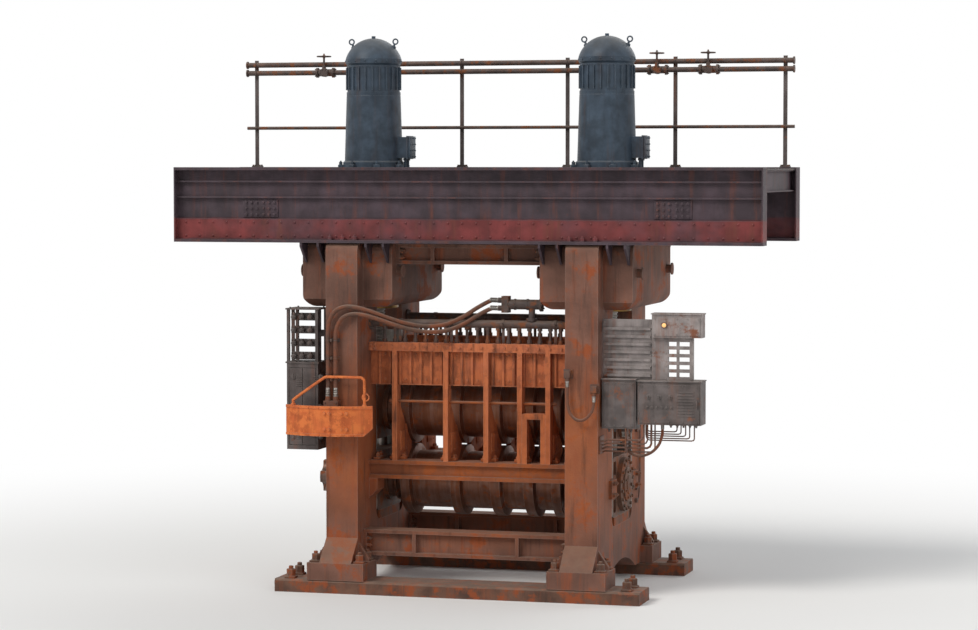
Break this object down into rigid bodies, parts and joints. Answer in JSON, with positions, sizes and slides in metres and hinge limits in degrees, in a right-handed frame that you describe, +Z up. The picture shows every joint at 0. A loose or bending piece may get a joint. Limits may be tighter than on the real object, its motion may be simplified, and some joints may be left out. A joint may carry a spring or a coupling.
{
  "type": "rolling mill stand",
  "caption": "Two-high reversing rolling mill stand with grooved rolls, cast housings, screwdown motors on a service deck, guides and water headers.",
  "frame": {"origin": "underside of the sole plates, midway between the two housings and between the front and rear feet", "axes": "+X along the roll axes towards the free ends of the rolls, +Y along the rolling direction, +Z up"},
  "size_m": [8.4, 3.6, 7.77],
  "materials": {
    "cast_steel": "rough cast surface, brown with scale and soot",
    "weathered_steel": "oxidised rolled steel",
    "hot_side_steel": "red-brown oxide from heat and water",
    "bright_steel": "machined and greased",
    "bronze": "machined bronze, dulled",
    "roll_iron": "turned roll surface with heat tint",
    "chock_steel": "cast steel with scale",
    "machine_paint": "dark grey paint, dusty",
    "motor_paint": "blue-black paint, dusty",
    "deck_paint": "dark purple-brown primer with soot",
    "deck_plate_steel": "worn dark plate",
    "pipe_steel": "rusty painted pipe",
    "hose_rubber": "dusty rubber with a woven cover"
  },
  "bodies": {
    "stand": {"sole_plate_front": "weathered_steel", "sole_plate_rear": "weathered_steel", "housing_left": "cast_steel", "housing_right": "cast_steel", "window_liners_left": "bright_steel", "window_liners_right": "bright_steel", "top_separator_front": "cast_steel", "top_separator_rear": "cast_steel", "bottom_separators": "cast_steel", "pressure_nut_left": "bronze", "pressure_nut_right": "bronze", "screwdown_case_left": "machine_paint", "screwdown_case_right": "machine_paint", "screwdown_motor_left": "motor_paint", "screwdown_motor_right": "motor_paint", "cross_shaft": "bright_steel", "bottom_chock_left": "chock_steel", "bottom_chock_right": "chock_steel", "chock_packings": "weathered_steel", "chock_keepers": "weathered_steel", "rest_bar_front": "weathered_steel", "rest_bar_rear": "weathered_steel", "guides_front": "hot_side_steel", "guides_rear": "hot_side_steel", "guide_stirrup": "hot_side_steel", "spray_header_front": "pipe_steel", "spray_header_rear": "pipe_steel", "hose_fittings": "pipe_steel", "supply_hose_upper": "hose_rubber", "supply_hose_lower": "hose_rubber", "post_hose": "hose_rubber", "rack_hose": "hose_rubber", "deck_girder_front": "deck_paint", "deck_girder_rear": "deck_paint", "deck_beams": "deck_paint", "deck_plates": "deck_plate_steel", "pipe_run_posts": "machine_paint", "pipe_run": "pipe_steel", "valve_cabinet": "machine_paint", "service_rack": "machine_paint", "entry_guard": "hot_side_steel", "guard_rail": "hot_side_steel"},
    "top_set": {"pressure_screw_left": "bright_steel", "pressure_screw_right": "bright_steel", "top_chock_left": "chock_steel", "top_chock_right": "chock_steel", "balance_plungers": "bright_steel"},
    "top_roll": {"top_roll": "roll_iron"},
    "bottom_roll": {"bottom_roll": "roll_iron"}
  },
  "joints": [
    {"name": "top_roll_lift", "type": "slide", "parent": "stand", "child": "top_set", "axis": [0, 0, 1], "range_m": [-0.01, 0.2]},
    {"name": "top_roll_spin", "type": "hinge", "parent": "top_set", "child": "top_roll", "pos_m": [0, 0, 2.465], "axis": [1, 0, 0], "continuous": true},
    {"name": "bottom_roll_spin", "type": "hinge", "parent": "stand", "child": "bottom_roll", "pos_m": [0, 0, 1.445], "axis": [1, 0, 0], "continuous": true}
  ],
  "couplings": [
    {"joint": "bottom_roll_spin", "follows": "top_roll_spin", "ratio": -1}
  ]
}
